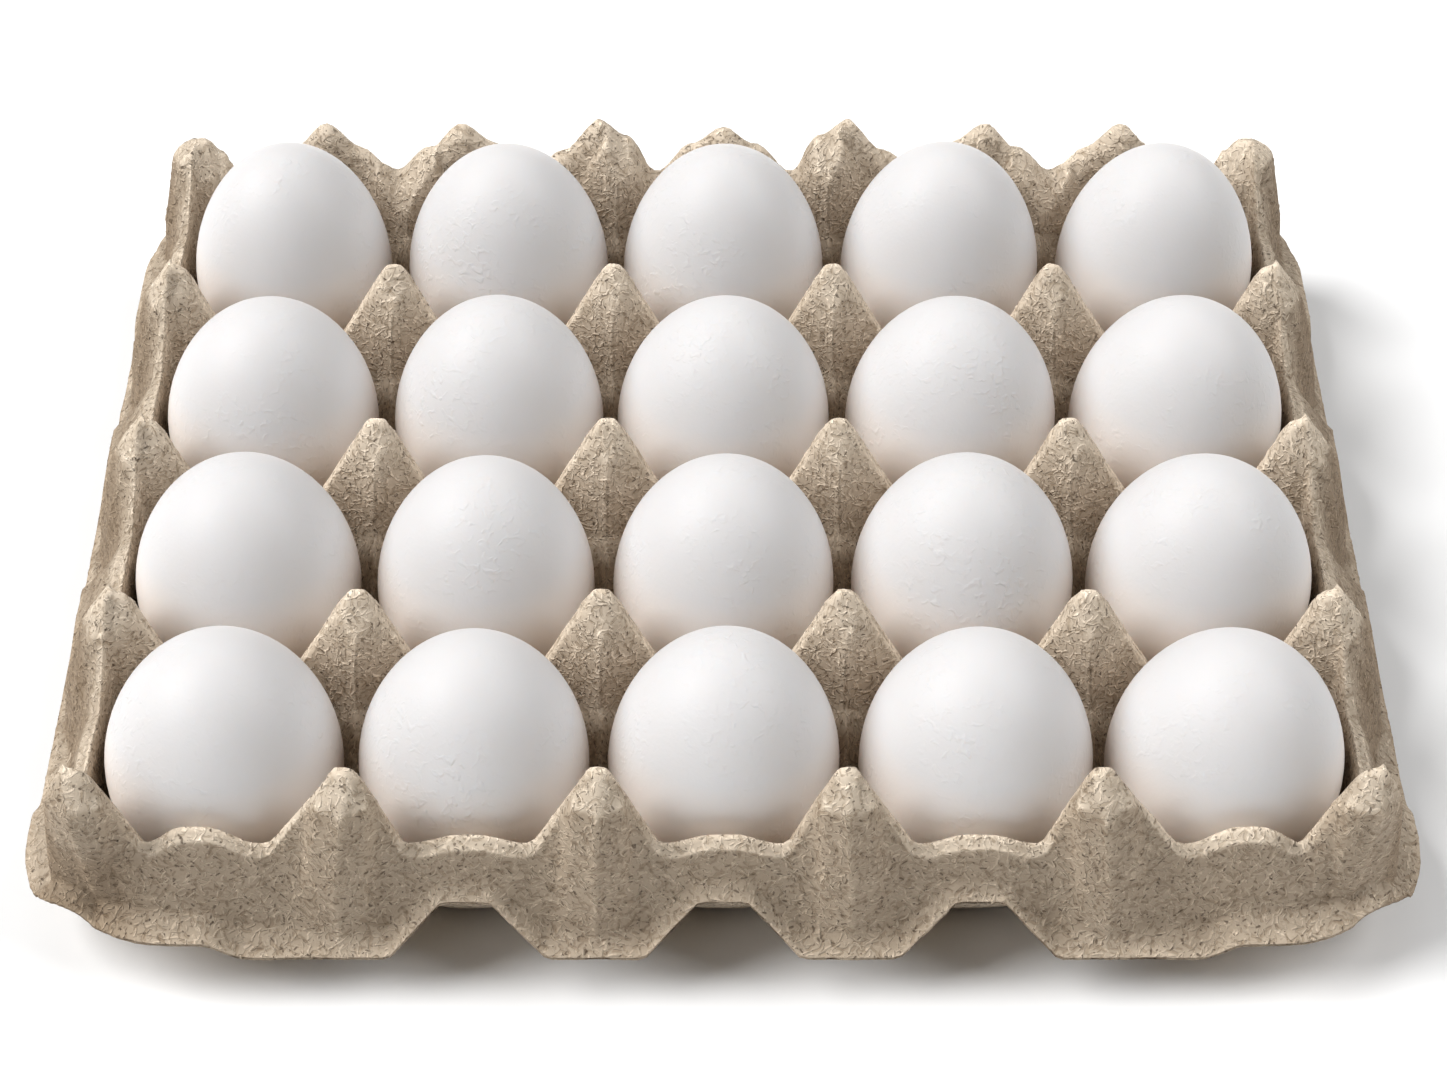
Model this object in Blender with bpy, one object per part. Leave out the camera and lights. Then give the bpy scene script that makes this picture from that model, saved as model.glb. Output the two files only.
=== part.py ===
"""Open moulded-pulp egg tray, four rows of five cups, with an egg resting in every cup."""
import math
import random

import bmesh
import bpy
from mathutils import Matrix

OBJECT_NAME = "egg_tray_with_eggs"

# Driving dimensions in millimetres. X runs along a row of five, Y from the front rim to the back rim.
PITCH = 48.5
COLUMNS = 5
ROWS = 4
TIP_HEIGHT = 52.0        # top of a post above the table
WALL = 2.0               # thickness of the pulp
RIM_OUT = 1.2            # how far the rim lies outside the last cups
RIDGE_SLOPE = 2.05       # fall of a post's crest, per millimetre
BLUNT = 1.3              # half width of the tip of a post
SIDE_BLUNT = 2.2         # the same on the side rims
KITE_DROP = 8.8          # height of the blunt facet at the top of a post
KITE_REACH = 5.6         # how far that facet reaches forward
SHOULDER = 5.0           # half width of the facet
SHOULDER_REACH = 3.1     # how far it reaches forward at its shoulders
FACE_SLOPE = 16.0        # fall of the front ridge below the facet
SADDLE_X = 32.5          # drop from a tip to the crest that runs along X
SADDLE_Y = 34.5          # drop from a tip to the crest that runs along Y
CREST_HALF = 1.6
CUP_FLAT = 12.7          # reach of the flat bottom of a cup
CUP_SPAN = 21.85         # reach of the bowl to the foot of a crest
CUP_RISE = 14.5          # height of the bowl there
RIM_FOOT = 2.1           # inner reach of the rim's wall, at the height of the crests between cups
RIM_LOW = 21.0           # drop of the rim beside a post
RIM_BUMP = 2.4           # rise of the rim at the middle of a cup
OUTER_BUMP = 4.6         # the same on the front rim at the corner cups
BUMP_SHIFT = 3.0         # how far that rise lies toward the corner
BAND_OUT = 1.3           # width of the rolled crest of the rim beside a post
BAND_SPREAD = 1.1        # how much wider it is at the middle of a cup
BAND_DROP = 1.3
ARCH_EDGE = 30.8         # drop of the skirt's edge over an arch
OUTER_EDGE = 38.0        # drop of the edge beside the corner cups
FOOT_EDGE = 42.0         # drop of the edge under a rim post
FRONT_REACH = 10.3       # overhang of a foot at the front
BACK_REACH = 9.1         # the same at the back
SIDE_REACH = 13.0        # overhang of a foot at the sides
SIDE_TAPER = 0.8         # how much less the sides overhang at the back, and more at the front
FRONT_ARCH = 6.0         # overhang over an arch at the front and back
SIDE_ARCH = 10.4         # overhang over an arch at the sides
CORNER_ROUND = 18.0      # extra radius of the skirt's edge round a front corner
BACK_ROUND = 8.0         # the same at the back
CORNER_RISE = 3.0        # how much higher the edge runs round a corner
FLARE_OUT = 2.6          # flare of the skirt at its edge
FLARE_DROP = 3.2
FRONT_LIFT = 3.7         # how much higher the tips of the front rim are
FRONT_IN = 1.2           # how far the front rim lies inward
LEAN = 0.026             # share by which the tips lean in toward the middle
LEAN_FRONT = 0.045       # the same for the inner posts of the front rim, on top

# Crest of the back rim: distance from the middle, drop from a tip.
BACK_CREST = (
    (0.0, 2.2), (7.5, 7.0), (15.6, 14.5), (22.5, 5.0), (29.2, 0.3), (37.0, 8.5), (45.0, 14.5),
    (53.0, 6.5), (61.2, 0.8), (68.5, 8.5), (75.8, 15.0), (84.0, 7.5), (92.6, 1.2), (99.5, 8.0),
    (106.0, 13.5), (112.0, 14.5), (116.5, 9.5), (120.6, 5.8), (130.0, 6.4),
)
# Roundness of a post's section: drop from the tip, power of its curve.
SECTION_POWER = ((0.0, 2.4), (5.8, 2.15), (7.0, 1.65), (8.6, 1.25), (13.0, 0.98), (20.0, 0.82))

# Width of every egg, front row first.
EGG_WIDTHS = (
    (45.8, 44.6, 44.9, 45.2, 45.8),
    (45.6, 44.2, 45.0, 45.1, 45.6),
    (45.0, 44.7, 45.4, 45.0, 45.3),
    (43.8, 44.7, 44.8, 44.2, 43.8),
)
EGG_TOPS = (59.0, 59.0, 59.0, 62.2)
EGG_SHIFTS = (0.4, 0.4, 0.3, 0.2, 0.0)    # of every column, toward +X
FRONT_SHIFT = 0.65       # of the front row, toward the back
EGG_BOTTOM = WALL + 0.45
EGG_TAPER = 0.07         # how much narrower the upper end is
EGG_LEAN = 2.0           # degrees
EGG_SEGMENTS = 12
EGG_RINGS = 7

# Lines of the mesh across half a cup, from the post to the middle.
HALF_LINES = (0.0, 2.4, 7.2, 14.2, PITCH / 2)
SKIRT_ROWS = 3

PULP_COLOUR = (0.42, 0.35, 0.27, 1.0)
SHELL_COLOUR = (0.86, 0.85, 0.84, 1.0)


def remove_everything():
    for item in list(bpy.data.objects):
        bpy.data.objects.remove(item, do_unlink=True)


def make_material(name, colour, roughness):
    material = bpy.data.materials.new(name)
    material.use_nodes = True
    shader = material.node_tree.nodes["Principled BSDF"]
    shader.inputs["Base Color"].default_value = colour
    shader.inputs["Roughness"].default_value = roughness
    return material


def line_positions(count):
    """Positions of the mesh lines along one direction, rim to rim."""
    start = -count * PITCH / 2
    steps = list(HALF_LINES)
    steps += [PITCH - step for step in reversed(HALF_LINES[1:-1])]
    lines = []
    for cell in range(count):
        for step in steps:
            lines.append(start + cell * PITCH + step)
    lines.append(-start)
    return lines


def smooth(t):
    t = min(max(t, 0.0), 1.0)
    return t * t * (3.0 - 2.0 * t)


def table_value(table, place):
    """Value of a table of (place, value) pairs, eased between its entries."""
    for (a, low), (b, high) in zip(table, table[1:]):
        if place <= b:
            return low + (high - low) * smooth((place - a) / (b - a))
    return table[-1][1]


def ridge(distance, blunt):
    """Drop of a crest this far from the middle of a post whose tip is blunt."""
    rest = distance - blunt
    start = 0.5 * (math.hypot(blunt, 0.8) - blunt)
    return RIDGE_SLOPE * (0.5 * (rest + math.hypot(rest, 0.8)) - start)


def section_reach(drop):
    """Reach of a post's section along X and along Y at this drop from its tip."""
    along = BLUNT * min(1.0, math.sqrt(drop / 0.7)) + drop / RIDGE_SLOPE
    across = 0.35 * min(drop, 1.0) + (KITE_REACH - 0.35) * drop / KITE_DROP
    if drop > KITE_DROP:
        across = KITE_REACH + (drop - KITE_DROP) / FACE_SLOPE
    return along, across


def post_drop(dx, dy):
    """Drop of a post's surface at this distance from its axis."""
    low, high = 0.0, 60.0
    for _ in range(18):
        drop = (low + high) / 2
        along, across = section_reach(drop)
        power = table_value(SECTION_POWER, drop)
        band = CREST_HALF * min(1.0, drop / KITE_DROP) * 0.75
        side = max(dy - band, 0.0) / max(across - band, 0.05)
        inside = (dx / (along + 0.1)) ** power + side ** power <= 1.0
        if inside:
            high = drop
        else:
            low = drop
    return high


def bowl_drop(u, v):
    """Drop of a cup's inner surface: a flat bottom, then a wall that opens toward the crests."""
    reach = (abs(u) ** 3.0 + abs(v) ** 3.0) ** (1.0 / 3.0)
    rise = max(0.0, (reach - CUP_FLAT) / (CUP_SPAN - CUP_FLAT))
    return TIP_HEIGHT - WALL - CUP_RISE * rise ** 1.1


def rim_crest(distance, bump, least, blunt):
    """Drop of the rim's crest at this distance from a post, with a bump at the middle of a cup."""
    low = RIM_LOW - bump * smooth((distance - 13.5) / (PITCH / 2 - 15.5))
    return max(min(ridge(distance, blunt), low), least)


def front_crest(x):
    gap = COLUMNS * PITCH / 2 - abs(x)
    if gap >= PITCH:
        return rim_crest(nearest_post(x, COLUMNS), RIM_BUMP, 0.0, BLUNT)
    inward = (PITCH - gap) / (PITCH / 2 + BUMP_SHIFT)
    outward = gap / (PITCH / 2 - BUMP_SHIFT)
    blunt = SIDE_BLUNT if gap < PITCH / 2 else BLUNT
    return rim_crest(min(inward, outward) * PITCH / 2, OUTER_BUMP, 0.0, blunt)


def side_crest(y):
    back = max(0.0, 1.0 - (ROWS * PITCH / 2 - y) / (PITCH / 2))
    return rim_crest(nearest_post(y, ROWS), RIM_BUMP, BACK_CREST[-1][1] * back ** 2, SIDE_BLUNT)


def rim_wall(crest, inward):
    """Drop of the rim's inner face at this distance inward of its crest."""
    return crest + (SADDLE_Y - crest) * inward / RIM_FOOT


def nearest_post(place, count):
    """Distance from this place to the nearest line of posts."""
    along = (place + count * PITCH / 2) / PITCH
    return abs(along - round(along)) * PITCH


def inner_drop(x, y):
    """Drop of the tray's upper surface inside the rim."""
    half_x = COLUMNS * PITCH / 2
    half_y = ROWS * PITCH / 2
    dx = nearest_post(x, COLUMNS)
    dy = nearest_post(y, ROWS)
    by_side = half_x - abs(x) < PITCH / 2
    by_back = half_y - y < PITCH / 2
    by_front = half_y + y < PITCH / 2
    along_x = SADDLE_X + 5.0 * max(dy - CREST_HALF, 0.0)
    if by_front:
        along_x = rim_wall(front_crest(x), dy)
    if by_back:
        along_x = rim_wall(table_value(BACK_CREST, abs(x)), dy)
    along_y = SADDLE_Y + 5.0 * max(dx - CREST_HALF, 0.0)
    post = post_drop(dx, dy)
    if by_side:
        along_y = rim_wall(side_crest(y), dx)
        post = max(post, side_crest(y) + 0.9 * dx)
    if by_back:
        post = max(post, table_value(BACK_CREST, abs(x)) + 1.5 * dy)
    return min(along_x, along_y, post, bowl_drop(PITCH / 2 - dx, PITCH / 2 - dy))


def under_drop(x, y):
    """Drop of the tray's underside below the same point, with pulp on every side of it."""
    top = inner_drop(x, y)
    drop = top + WALL
    half_x = COLUMNS * PITCH / 2
    half_y = ROWS * PITCH / 2
    for step in range(8):
        turn = math.radians(45.0 * step)
        near_x = min(max(x + WALL * 0.8 * math.cos(turn), -half_x), half_x)
        near_y = min(max(y + WALL * 0.8 * math.sin(turn), -half_y), half_y)
        drop = max(drop, inner_drop(near_x, near_y) + 0.6)
    return min(drop, TIP_HEIGHT)


def edge_drop(distance, outer):
    """Drop of the skirt's lower edge at this distance from a rim post."""
    if outer:
        return FOOT_EDGE + (OUTER_EDGE - FOOT_EDGE) * smooth((distance - 18.0) / 8.0)
    return FOOT_EDGE + (ARCH_EDGE - FOOT_EDGE) * min(max((distance - 9.2) / 10.5, 0.0), 1.0)


def skirt_point(crest, distance, corner_gap, row, reach, arch_reach):
    """Overhang and drop of one row of the skirt; corner_gap is the distance to the nearer corner."""
    if row == 1:
        inner = max(0.0, 1.0 - distance / SHOULDER)
        outer = min(max(1.0 - (distance - SHOULDER) / 1.8, 0.0), 1.0)
        out = BAND_OUT + BAND_SPREAD * smooth((distance - 8.0) / 8.0)
        out += outer * (SHOULDER_REACH - out) + inner * (KITE_REACH - SHOULDER_REACH)
        drop = crest + BAND_DROP
        if distance < SHOULDER:
            drop = max(drop, KITE_DROP - 0.9 * (1.0 - inner))
        return out, drop
    outer = corner_gap < PITCH
    edge = edge_drop(distance, outer)
    if outer and corner_gap < PITCH / 2:
        edge = OUTER_EDGE
    foot = 1.0 if outer else (edge - ARCH_EDGE) / (FOOT_EDGE - ARCH_EDGE)
    out = arch_reach + (reach - arch_reach) * foot
    if row == 2:
        return out - FLARE_OUT, edge - FLARE_DROP
    return out, edge


def side_of(i, j, last_x, last_y):
    """How many skirt rows outside the rim this grid point lies, along X and along Y, with the signs."""
    s = max(SKIRT_ROWS - i, i - (last_x - SKIRT_ROWS), 0)
    t = max(SKIRT_ROWS - j, j - (last_y - SKIRT_ROWS), 0)
    return s, t, (-1 if i < last_x / 2 else 1), (-1 if j < last_y / 2 else 1)


def skirt_place(s, t, x, y):
    """Direction, overhang and drop of a point of the skirt, s and t rows outside the rim."""
    crest = inner_drop(x, y)
    side_reach = SIDE_REACH - SIDE_TAPER * y / (ROWS * PITCH / 2)
    end_reach = FRONT_REACH if y < 0.0 else BACK_REACH
    if s > 0 and t > 0:
        row = max(s, t)
        turn = math.radians(45.0) * (t / s if s >= t else 2.0 - s / t)
        along = math.sin(turn) ** 2
        reach = side_reach + (end_reach - side_reach) * along
        arch_reach = SIDE_ARCH + (FRONT_ARCH - SIDE_ARCH) * along
        out, drop = skirt_point(crest, 0.0, 0.0, row, reach, arch_reach)
        if row > 1:
            drop -= CORNER_RISE * math.sin(2.0 * turn)
        return turn, out, drop
    if t > 0:
        distance = nearest_post(x, COLUMNS)
        if y > 0.0:
            distance = max(distance, 5.0)
        gap = COLUMNS * PITCH / 2 - abs(x)
        out, drop = skirt_point(crest, distance, gap, t, end_reach, FRONT_ARCH)
        return math.radians(90.0), out, drop
    gap = ROWS * PITCH / 2 - abs(y)
    out, drop = skirt_point(crest, nearest_post(y, ROWS), gap, s, side_reach, SIDE_ARCH)
    return 0.0, out, drop


def round_corner(ax, ay, out, row, front):
    """Pull a point of the skirt onto a rounder corner, given its distances from the middle."""
    extra = (CORNER_ROUND if front else BACK_ROUND) * (0.3 if row == 1 else 1.0)
    cx = COLUMNS * PITCH / 2 + RIM_OUT - extra
    cy = ROWS * PITCH / 2 + RIM_OUT - extra
    if front:
        cy -= FRONT_IN
    reach = math.hypot(ax - cx, ay - cy)
    if ax <= cx or ay <= cy or reach <= extra + out:
        return ax, ay
    pull = (extra + out) / reach
    return cx + (ax - cx) * pull, cy + (ay - cy) * pull


def settle(px, py, pz):
    """Lift the front rim, and let the posts lean in toward the middle at their tips."""
    half_x = COLUMNS * PITCH / 2
    half_y = ROWS * PITCH / 2
    front = min(max((FRONT_IN - half_y - RIM_OUT + 4.0 - py) / 3.0, 0.0), 1.0)
    pz += front * FRONT_LIFT * (0.5 + 0.5 * pz / TIP_HEIGHT)
    top = min(max((pz - 26.0) / 26.0, 0.0), 1.0)
    near = min(max((-py - 60.0) / 30.0, 0.0), 1.0)
    lean = LEAN * (1.0 - 0.4 * near) + LEAN_FRONT * near * max(0.0, 1.0 - (px / half_x) ** 2)
    return px * (1.0 - top * lean), py, pz


def tray_point(i, j, lines_x, lines_y, under):
    """Where a point of the grid goes, in millimetres above the table, on the upper or the under side."""
    last_x = len(lines_x) - 1 + 2 * SKIRT_ROWS
    last_y = len(lines_y) - 1 + 2 * SKIRT_ROWS
    s, t, sign_x, sign_y = side_of(i, j, last_x, last_y)
    x = lines_x[min(max(i - SKIRT_ROWS, 0), len(lines_x) - 1)]
    y = lines_y[min(max(j - SKIRT_ROWS, 0), len(lines_y) - 1)]
    ax, ay = abs(x), abs(y)
    if ax > COLUMNS * PITCH / 2 - 0.01:
        ax += RIM_OUT
    if ay > ROWS * PITCH / 2 - 0.01:
        ay += RIM_OUT if sign_y > 0 else RIM_OUT - FRONT_IN
    drop = under_drop(x, y) if under else inner_drop(x, y)
    if s == 0 and t == 0:
        return settle(math.copysign(ax, x), math.copysign(ay, y), TIP_HEIGHT - drop)
    turn, out, fall = skirt_place(s, t, x, y)
    row = max(s, t)
    if under:
        inset = WALL * 0.85
        if row == 1:
            wide, low = skirt_place(s * 2.0, t * 2.0, x, y)[1:]
            out = (wide - inset) * 0.45
            fall = drop + (low + 1.0 - drop) * 0.45
        else:
            out -= inset
            fall += WALL * 0.45
    ax, ay = round_corner(ax + out * math.cos(turn), ay + out * math.sin(turn), out, row, sign_y < 0)
    return settle(sign_x * ax, sign_y * ay, TIP_HEIGHT - fall)


def split_from_post(face, count_x, count_y):
    """Cut a quad of the flat grid along the diagonal that points away from the nearest post."""
    centre = face.calc_center_median()
    side = []
    for place, count in ((centre.x, count_x), (centre.y, count_y)):
        index = (place + 0.5) * count - SKIRT_ROWS
        per_cell = 2 * (len(HALF_LINES) - 1)
        index = min(max(index, -0.5), count - 2 * SKIRT_ROWS + 0.5)
        nearest = round(index / per_cell) * per_cell
        side.append(1.0 if index > nearest else -1.0)
    corners = sorted(face.verts, key=lambda v: (v.co.x - centre.x) * side[0] + (v.co.y - centre.y) * side[1])
    bmesh.utils.face_split(face, corners[0], corners[-1])


def build_tray(collection, material):
    lines_x = line_positions(COLUMNS)
    lines_y = line_positions(ROWS)
    count_x = len(lines_x) - 1 + 2 * SKIRT_ROWS
    count_y = len(lines_y) - 1 + 2 * SKIRT_ROWS
    bm = bmesh.new()
    bmesh.ops.create_grid(bm, x_segments=count_x, y_segments=count_y, size=0.5)
    for face in list(bm.faces):
        split_from_post(face, count_x, count_y)
    copied = bmesh.ops.duplicate(bm, geom=bm.verts[:] + bm.edges[:] + bm.faces[:])["geom"]
    under_side = {item for item in copied if isinstance(item, bmesh.types.BMVert)}
    bmesh.ops.reverse_faces(bm, faces=[item for item in copied if isinstance(item, bmesh.types.BMFace)])
    bmesh.ops.bridge_loops(bm, edges=[edge for edge in bm.edges if edge.is_boundary])
    for vertex in bm.verts:
        i = round((vertex.co.x + 0.5) * count_x)
        j = round((vertex.co.y + 0.5) * count_y)
        x, y, z = tray_point(i, j, lines_x, lines_y, vertex in under_side)
        vertex.co = (x / 1000.0, y / 1000.0, z / 1000.0)
    bmesh.ops.recalc_face_normals(bm, faces=bm.faces)
    mesh = bpy.data.meshes.new("tray")
    bm.to_mesh(mesh)
    bm.free()
    mesh.materials.append(material)
    for face in mesh.polygons:
        face.use_smooth = True
    tray = bpy.data.objects.new("tray", mesh)
    collection.objects.link(tray)
    return tray


def build_egg(collection, material, row, column, rng):
    width = EGG_WIDTHS[row][column]
    height = EGG_TOPS[row] - EGG_BOTTOM + rng.uniform(-0.8, 0.0)
    bm = bmesh.new()
    bmesh.ops.create_uvsphere(bm, u_segments=EGG_SEGMENTS, v_segments=EGG_RINGS, radius=1.0)
    for vertex in bm.verts:
        rise = vertex.co.z
        narrow = 1.0 - EGG_TAPER * rise
        vertex.co.x *= narrow * width / 2000.0
        vertex.co.y *= narrow * width / 2000.0
        vertex.co.z = rise * height / 2000.0
    lean = Matrix.Rotation(math.radians(EGG_LEAN + rng.uniform(-1.0, 1.0)), 4, "Y")
    tip = Matrix.Rotation(math.radians(rng.uniform(-1.5, 1.5)), 4, "X")
    bmesh.ops.transform(bm, matrix=lean @ tip, verts=bm.verts)
    lowest = min(vertex.co.z for vertex in bm.verts)
    x = (column - (COLUMNS - 1) / 2) * PITCH + EGG_SHIFTS[column] + rng.uniform(-0.25, 0.25)
    y = (row - (ROWS - 1) / 2) * PITCH + rng.uniform(-0.25, 0.25)
    if row == 0:
        y += FRONT_SHIFT
    bmesh.ops.translate(bm, vec=(x / 1000.0, y / 1000.0, EGG_BOTTOM / 1000.0 - lowest), verts=bm.verts)
    mesh = bpy.data.meshes.new(f"egg_r{row + 1}_c{column + 1}")
    bm.to_mesh(mesh)
    bm.free()
    mesh.materials.append(material)
    for face in mesh.polygons:
        face.use_smooth = True
    egg = bpy.data.objects.new(mesh.name, mesh)
    collection.objects.link(egg)
    return egg


def main():
    remove_everything()
    collection = bpy.data.collections.new(OBJECT_NAME)
    bpy.context.scene.collection.children.link(collection)
    build_tray(collection, make_material("Moulded pulp", PULP_COLOUR, 0.9))
    rng = random.Random(20)
    for row in range(ROWS):
        for column in range(COLUMNS):
            shell = make_material(f"Eggshell {row + 1}-{column + 1}", SHELL_COLOUR, 0.55)
            build_egg(collection, shell, row, column, rng)


main()
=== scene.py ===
"""An open tray of moulded pulp with an egg in every cup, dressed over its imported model."""
import math
import random

import bmesh
import bpy
import numpy as np
from bpy.props import FloatProperty, FloatVectorProperty, IntProperty, PointerProperty
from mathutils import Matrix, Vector, noise
from mathutils.bvhtree import BVHTree


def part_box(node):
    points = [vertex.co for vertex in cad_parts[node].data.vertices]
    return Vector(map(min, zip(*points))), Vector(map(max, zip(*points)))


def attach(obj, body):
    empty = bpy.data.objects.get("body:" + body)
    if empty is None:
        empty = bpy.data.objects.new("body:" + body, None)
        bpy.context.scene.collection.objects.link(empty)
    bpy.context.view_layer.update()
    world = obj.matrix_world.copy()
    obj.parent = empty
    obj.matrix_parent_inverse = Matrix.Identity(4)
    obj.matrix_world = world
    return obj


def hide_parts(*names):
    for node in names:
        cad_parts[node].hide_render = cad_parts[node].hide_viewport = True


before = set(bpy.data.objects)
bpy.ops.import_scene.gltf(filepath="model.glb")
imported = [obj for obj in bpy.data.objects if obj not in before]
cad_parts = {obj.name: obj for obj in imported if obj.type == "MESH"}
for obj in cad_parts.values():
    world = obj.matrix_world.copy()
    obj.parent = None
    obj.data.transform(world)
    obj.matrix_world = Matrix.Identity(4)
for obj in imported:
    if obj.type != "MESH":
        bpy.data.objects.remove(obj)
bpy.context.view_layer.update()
TRAY_LOW, TRAY_HIGH = (Vector(corner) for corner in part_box("tray"))
MM = 0.001
COLUMNS = 5
ROWS = 4

bl_info = {
    "name": "Egg tray with eggs",
    "version": (1, 0, 0),
    "blender": (4, 5, 0),
    "location": "View3D > Sidebar > Egg tray",
    "description": "Builds the pulp tray, its fibres, the eggs and the studio",
    "category": "Object",
}


# --------------------------------------------------------------------------- settings

def length(name, description, default):
    """A length in millimetres."""
    return FloatProperty(name=name, description=description, default=default)


def number(name, description, default):
    """A plain number: a share, a slope or the strength of a light."""
    return FloatProperty(name=name, description=description, default=default)


def amount(name, description, default, least=0):
    """A whole number of things."""
    return IntProperty(name=name, description=description, default=default, min=least)


def colour(name, description, default):
    """A colour of a material."""
    return FloatVectorProperty(name=name, description=description, default=default, size=3,
                               subtype="COLOR", min=0.0, max=1.0)


def tinting(name, description, default):
    """What a colour is multiplied by."""
    return FloatVectorProperty(name=name, description=description, default=default, size=3,
                               min=0.0, max=2.0)


class TraySettings(bpy.types.PropertyGroup):
    tip_height: length("Post height", "Top of a post above the table", 52.0)
    pitch: length("Pitch", "Distance between neighbouring cups", 48.5)
    wall: length("Wall", "Thickness of the pulp", 2.0)
    rim_out: length("Rim set-out", "How far the rim lies outside the last cups", 1.2)
    rim_foot: length("Rim foot", "Inner reach of the rim's wall", 2.1)
    rim_low: length("Rim low", "Drop of the rim beside a post", 21.0)
    rim_bump: length("Rim bump", "Rise of the rim at the middle of a cup", 2.4)
    blunt: length("Tip", "Half width of the tip of a post", 1.3)
    side_blunt: length("Side tip", "Half width of the tips on the side rims", 2.2)
    kite_drop: length("Facet height", "Height of the blunt facet at the top of a post", 8.8)
    kite_reach: length("Facet reach", "How far that facet reaches forward", 5.6)
    shoulder: length("Shoulder", "Half width of that facet", 5.0)
    shoulder_reach: length("Shoulder reach", "How far the facet reaches forward at its shoulders", 3.1)
    saddle_x: length("Saddle along X", "Drop to the crests that run along X", 32.5)
    saddle_y: length("Saddle along Y", "Drop to the crests that run along Y", 34.5)
    crest_half: length("Crest", "Half width of the crests between cups", 1.6)
    cup_flat: length("Cup flat", "Reach of the flat bottom of a cup", 12.7)
    cup_span: length("Cup span", "Reach of the bowl to the foot of a crest", 21.85)
    cup_rise: length("Cup rise", "Height of the bowl there", 14.5)
    arch_edge: length("Arch edge", "Drop of the skirt's edge over an arch", 30.8)
    outer_edge: length("Corner edge", "Drop of the edge beside the corner cups", 38.0)
    foot_edge: length("Foot edge", "Drop of the edge under a rim post", 42.0)
    steep_step: length("Steep step", "Spacing of the mesh on the steep walls", 0.55)
    flat_step: length("Flat step", "Spacing of the mesh in the bowls", 1.6)
    outer_bump: length("Outer bump", "Rise of the front rim at the corner cups", 4.6)
    bump_shift: length("Bump shift", "How far that rise lies toward the corner", 3.0)
    front_lift: length("Front lift", "How much higher the front rim's tips are", 3.7)
    front_in: length("Front set-in", "How far the front rim lies inward", 1.2)
    corner_round: length("Corner round", "Extra radius of the skirt round a front corner", 18.0)
    back_round: length("Back corner round", "Extra radius of the skirt round a back corner", 8.0)
    front_reach: length("Front reach", "Overhang of the skirt's edge at the front", 10.3)
    side_reach: length("Side reach", "Overhang of the skirt's edge at the sides", 13.0)
    front_arch: length("Front arch reach", "Overhang over the arches at the front", 6.0)
    side_arch: length("Side arch reach", "Overhang over the arches at the sides", 10.4)
    corner_rise: length("Corner rise", "How much higher the edge runs round a corner", 3.0)
    side_taper: length("Side taper", "How much less the sides overhang at the back", 0.8)
    # Painted light and shade in the pulp's colour: between these two rises of the normal, pulp that faces up
    # is painted pale and steep pulp dark.
    steep_rise: number("Steep rise", "Upward part of the normal where the pulp is darkest", 0.16)
    flat_rise: number("Flat rise", "Upward part of the normal where the pulp is palest", 0.40)
    ledge: length("Skirt ledge", "How much further the skirt flares at its feet", 2.9)
    # Painted shade low down: below this height, pulp that faces up is painted less pale.
    painted_shade_below: length("Darker below", "Height below which surfaces that face up are less pale", 27.0)
    # Painted light and shade on steep walls: the outer skirt is painted dark, the cup walls paler.
    skirt_painted_light: number("Skirt tone", "How pale the steep outer sides are", 0.33)
    cup_painted_light: number("Cup tone", "How pale the steep walls of the cups are", 0.72)
    # Painted shade on the left front corner.
    painted_corner_shade: number("Dark corner", "How much darker the left front corner is", 0.8)
    # Painted shade on the steep side walls.
    painted_side_shade: number("Side shade", "How much darker the side walls are", 0.85)
    side_start: length("Dark sides", "Distance from the middle where the dark side walls begin", 123.5)
    # Painted light on convex edges and painted shade in creases, by how sharply they bend.
    sharpest: number("Sharpest edge", "Bend per metre of the most worn edges", 450.0)
    groove: length("Groove", "Depth of the groove between the two plies of the edge", 0.5)
    lean: number("Lean", "Share by which the tips lean in toward the middle", 0.026)
    ease: number("Ease", "Rounding of the skirt's corners", 0.09)
    ridge_slope: number("Ridge slope", "Fall of a post's crest along X", 2.05)
    face_slope: number("Face slope", "Fall of the front ridge below the facet", 16.0)
    lump: length("Lumps", "Height of the pulp's slow unevenness", 0.22)
    tooth: length("Tooth", "Height of the pulp's quick unevenness", 0.09)


class FibreSettings(bpy.types.PropertyGroup):
    fibres: amount("Fibres", "How many pale fibres lie on the tray", 10000)
    browns: amount("Brown fibres", "How many darker fibres lie on it", 4500)
    flecks: amount("Flecks", "How many dark flecks lie in the pulp", 5000)
    fibre_width: length("Fibre width", "Width of a fibre", 0.34)
    fibre_step: length("Fibre step", "Length of one bend of a fibre", 0.55)
    fleck_width: length("Fleck width", "Width of a dark fleck", 0.24)
    seed: amount("Seed", "Seed of the fibres' places", 7)


class EggSettings(bpy.types.PropertyGroup):
    segments: amount("Segments", "Steps round an egg", 64, 12)
    rings: amount("Rings", "Steps from pole to pole", 40, 8)
    taper: number("Taper", "How much narrower the upper end is", 0.07)
    uneven: length("Unevenness", "Height of the shell's slow unevenness", 0.07)


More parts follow.
